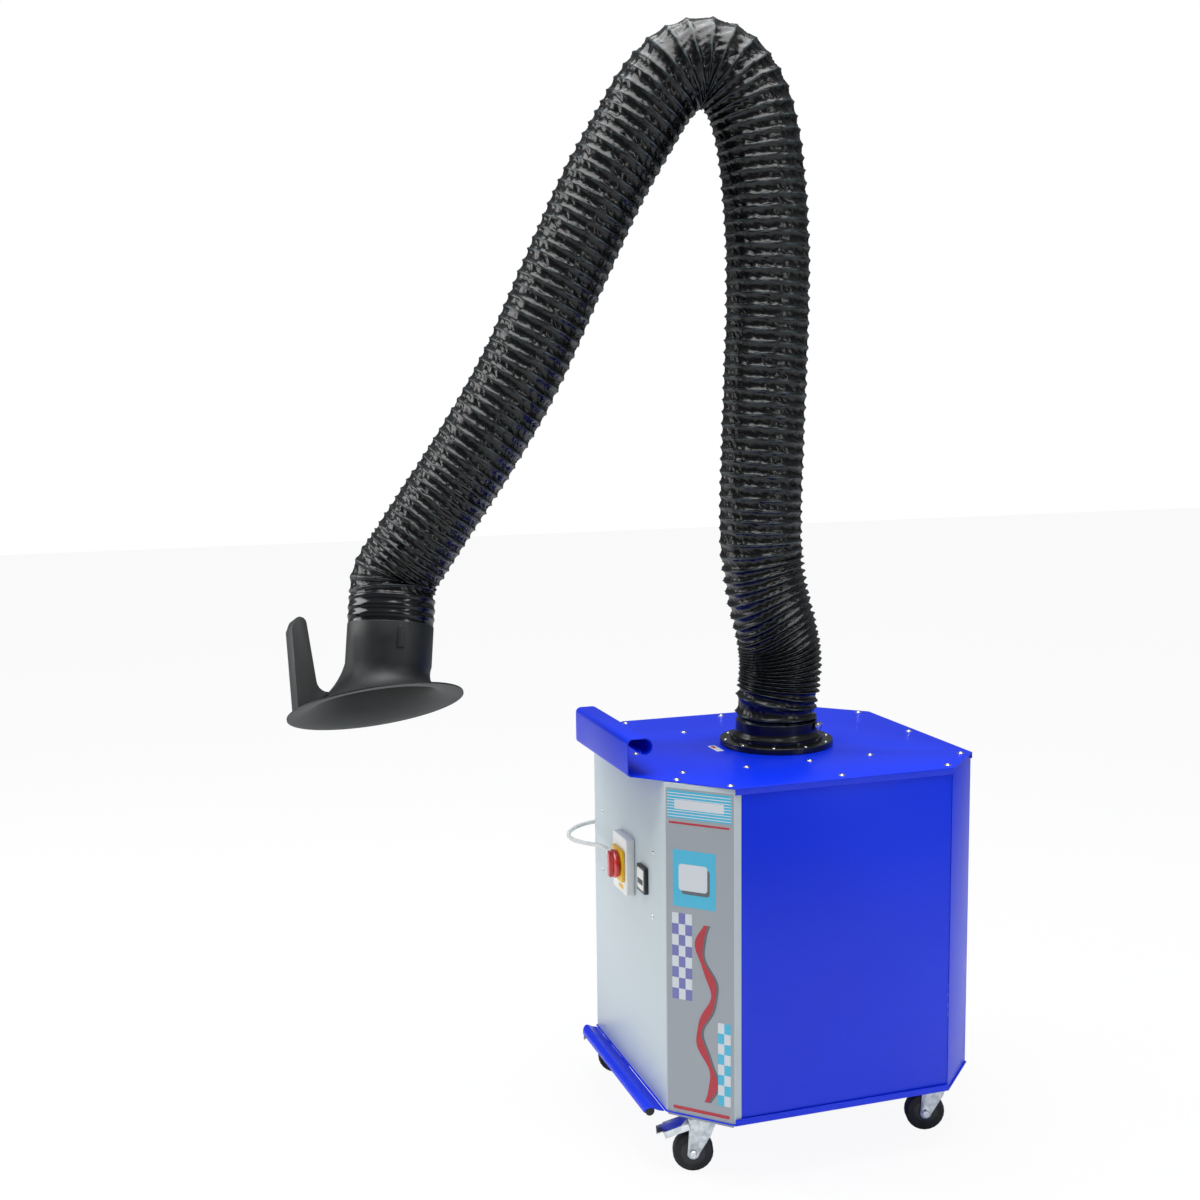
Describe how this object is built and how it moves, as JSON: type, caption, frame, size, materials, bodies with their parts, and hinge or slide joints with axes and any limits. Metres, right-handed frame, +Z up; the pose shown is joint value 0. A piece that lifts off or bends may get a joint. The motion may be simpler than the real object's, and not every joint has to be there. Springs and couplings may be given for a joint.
{
  "type": "mobile fume extractor",
  "caption": "Mobile fume extractor: a boxy filter cabinet on castors with a rolled push handle, and a self-supporting ribbed hose arm that ends in a bell hood.",
  "frame": {"origin": "on the floor, at the middle of the machine's footprint without its cord", "axes": "+Z up; the front panel with the switch faces -Y; +X is to the right for a person who faces the front panel; as drawn the hood hangs in front, slightly to -X"},
  "size_m": [0.8208, 1.3296, 2.2401],
  "materials": {
    "blue_paint": "gloss",
    "grey_paint": "satin",
    "zinc": "satin",
    "steel": "satin",
    "wheel_rubber": "satin",
    "black_plastic": "satin",
    "hose_fabric": "satin",
    "hood_plastic": "satin",
    "white_plastic": "satin",
    "yellow_plastic": "satin",
    "red_plastic": "gloss",
    "cord_plastic": "satin",
    "filter_media": "matte",
    "carbon_media": "matte",
    "motor_iron": "satin"
  },
  "bodies": {
    "cabinet": {"base_pan": "blue_paint", "front_panel": "grey_paint", "right_side_panel": "blue_paint", "left_side_panel": "blue_paint", "rear_panel": "blue_paint", "lid": "blue_paint", "push_handle": "blue_paint", "kick_guard": "blue_paint", "bumper_rod": "wheel_rubber", "fan_deck": "steel", "carbon_filter": "carbon_media", "main_filter": "filter_media", "prefilter": "filter_media", "fan_motor": "motor_iron", "fan_housing": "steel", "switch_box": "white_plastic", "switch_plate": "yellow_plastic", "hour_meter": "black_plastic", "cable_gland": "white_plastic", "mains_cord": "cord_plastic", "mains_cord_coil": "cord_plastic", "mains_cord_tail": "cord_plastic", "mains_plug": "black_plastic", "inlet_flange": "black_plastic", "castor_plate_front_right": "zinc", "castor_plate_front_left": "zinc", "castor_plate_rear_right": "zinc", "castor_plate_rear_left": "zinc"},
    "arm_base": {"arm_turntable": "steel", "hose_skirt": "hose_fabric", "hose_clamp": "zinc", "shoulder_bracket": "steel", "shoulder_pin": "steel", "hose_shoulder": "hose_fabric"},
    "lower_arm": {"lower_link": "steel", "hose_lower": "hose_fabric", "elbow_pin": "steel", "hose_elbow": "hose_fabric"},
    "upper_arm": {"upper_link": "steel", "hose_upper": "hose_fabric", "wrist_pin": "steel", "hose_wrist": "hose_fabric"},
    "wrist_yoke": {"wrist_yoke": "steel"},
    "wrist_block": {"wrist_block": "steel"},
    "hood": {"hood": "hood_plastic", "hood_handle": "hood_plastic"},
    "fan_rotor": {"impeller": "steel", "motor_shaft": "steel"},
    "switch_knob": {"switch_knob": "red_plastic"},
    "swivel_front_right": {"castor_fork_front_right": "zinc"},
    "wheel_front_right": {"castor_wheel_front_right": "wheel_rubber"},
    "swivel_front_left": {"castor_fork_front_left": "zinc"},
    "wheel_front_left": {"castor_wheel_front_left": "wheel_rubber"},
    "swivel_rear_right": {"castor_fork_rear_right": "zinc"},
    "wheel_rear_right": {"castor_wheel_rear_right": "wheel_rubber"},
    "swivel_rear_left": {"castor_fork_rear_left": "zinc"},
    "wheel_rear_left": {"castor_wheel_rear_left": "wheel_rubber"},
    "pedal_front_right": {"brake_pedal_front_right": "zinc"},
    "pedal_front_left": {"brake_pedal_front_left": "zinc"}
  },
  "joints": [
    {"name": "arm_swivel", "type": "hinge", "parent": "cabinet", "child": "arm_base", "pos_m": [0, 0.33077, 0.7956], "axis": [0, 0, 1], "range_deg": [-170, 170]},
    {"name": "shoulder", "type": "hinge", "parent": "arm_base", "child": "lower_arm", "pos_m": [0, 0.33077, 0.95], "axis": [-0.9781, 0.2079, 0], "range_deg": [-35, 15], "deforming": ["hose_shoulder"]},
    {"name": "elbow", "type": "hinge", "parent": "lower_arm", "child": "upper_arm", "pos_m": [-0.03327, 0.17426, 2.135], "axis": [0.9781, -0.2079, 0], "range_deg": [-50, 5], "deforming": ["hose_elbow"]},
    {"name": "wrist_pitch", "type": "hinge", "parent": "upper_arm", "child": "wrist_yoke", "pos_m": [-0.16321, -0.43708, 1.15], "axis": [0.9781, -0.2079, 0], "range_deg": [-40, 40], "deforming": ["hose_wrist"]},
    {"name": "wrist_roll", "type": "hinge", "parent": "wrist_yoke", "child": "wrist_block", "pos_m": [-0.16321, -0.43708, 1.116], "axis": [-0.2079, -0.9781, 0], "range_deg": [-30, 30]},
    {"name": "hood_turn", "type": "hinge", "parent": "wrist_block", "child": "hood", "pos_m": [-0.13945, -0.44963, 1.05679], "axis": [0.2449, -0.1294, -0.9609], "range_deg": [-90, 90]},
    {"name": "fan_spin", "type": "hinge", "parent": "cabinet", "child": "fan_rotor", "pos_m": [0, 0.33077, 0.2667], "axis": [0, 0, 1], "continuous": true},
    {"name": "switch_turn", "type": "hinge", "parent": "cabinet", "child": "switch_knob", "pos_m": [0, -0.02463, 0.561], "axis": [0, -1, 0], "range_deg": [0, 90]},
    {"name": "swivel_front_right", "type": "hinge", "parent": "cabinet", "child": "swivel_front_right", "pos_m": [0.23601, 0.07476, 0.105], "axis": [0, 0, 1], "continuous": true},
    {"name": "roll_front_right", "type": "hinge", "parent": "swivel_front_right", "child": "wheel_front_right", "pos_m": [0.22798, 0.05003, 0.04], "axis": [0.9511, -0.309, 0], "continuous": true},
    {"name": "swivel_front_left", "type": "hinge", "parent": "cabinet", "child": "swivel_front_left", "pos_m": [-0.23601, 0.07476, 0.105], "axis": [0, 0, 1], "continuous": true},
    {"name": "roll_front_left", "type": "hinge", "parent": "swivel_front_left", "child": "wheel_front_left", "pos_m": [-0.24404, 0.05003, 0.04], "axis": [0.9511, -0.309, 0], "continuous": true},
    {"name": "swivel_rear_right", "type": "hinge", "parent": "cabinet", "child": "swivel_rear_right", "pos_m": [0.23601, 0.58678, 0.105], "axis": [0, 0, 1], "continuous": true},
    {"name": "roll_rear_right", "type": "hinge", "parent": "swivel_rear_right", "child": "wheel_rear_right", "pos_m": [0.22798, 0.56205, 0.04], "axis": [0.9511, -0.309, 0], "continuous": true},
    {"name": "swivel_rear_left", "type": "hinge", "parent": "cabinet", "child": "swivel_rear_left", "pos_m": [-0.23601, 0.58678, 0.105], "axis": [0, 0, 1], "continuous": true},
    {"name": "roll_rear_left", "type": "hinge", "parent": "swivel_rear_left", "child": "wheel_rear_left", "pos_m": [-0.25055, 0.56522, 0.04], "axis": [0.829, -0.5592, 0], "continuous": true},
    {"name": "brake_front_right", "type": "hinge", "parent": "swivel_front_right", "child": "pedal_front_right", "pos_m": [0.22488, 0.04052, 0.104], "axis": [0.9511, -0.309, 0], "range_deg": [0, 12]},
    {"name": "brake_front_left", "type": "hinge", "parent": "swivel_front_left", "child": "pedal_front_left", "pos_m": [-0.24713, 0.04052, 0.104], "axis": [0.9511, -0.309, 0], "range_deg": [0, 12]}
  ]
}
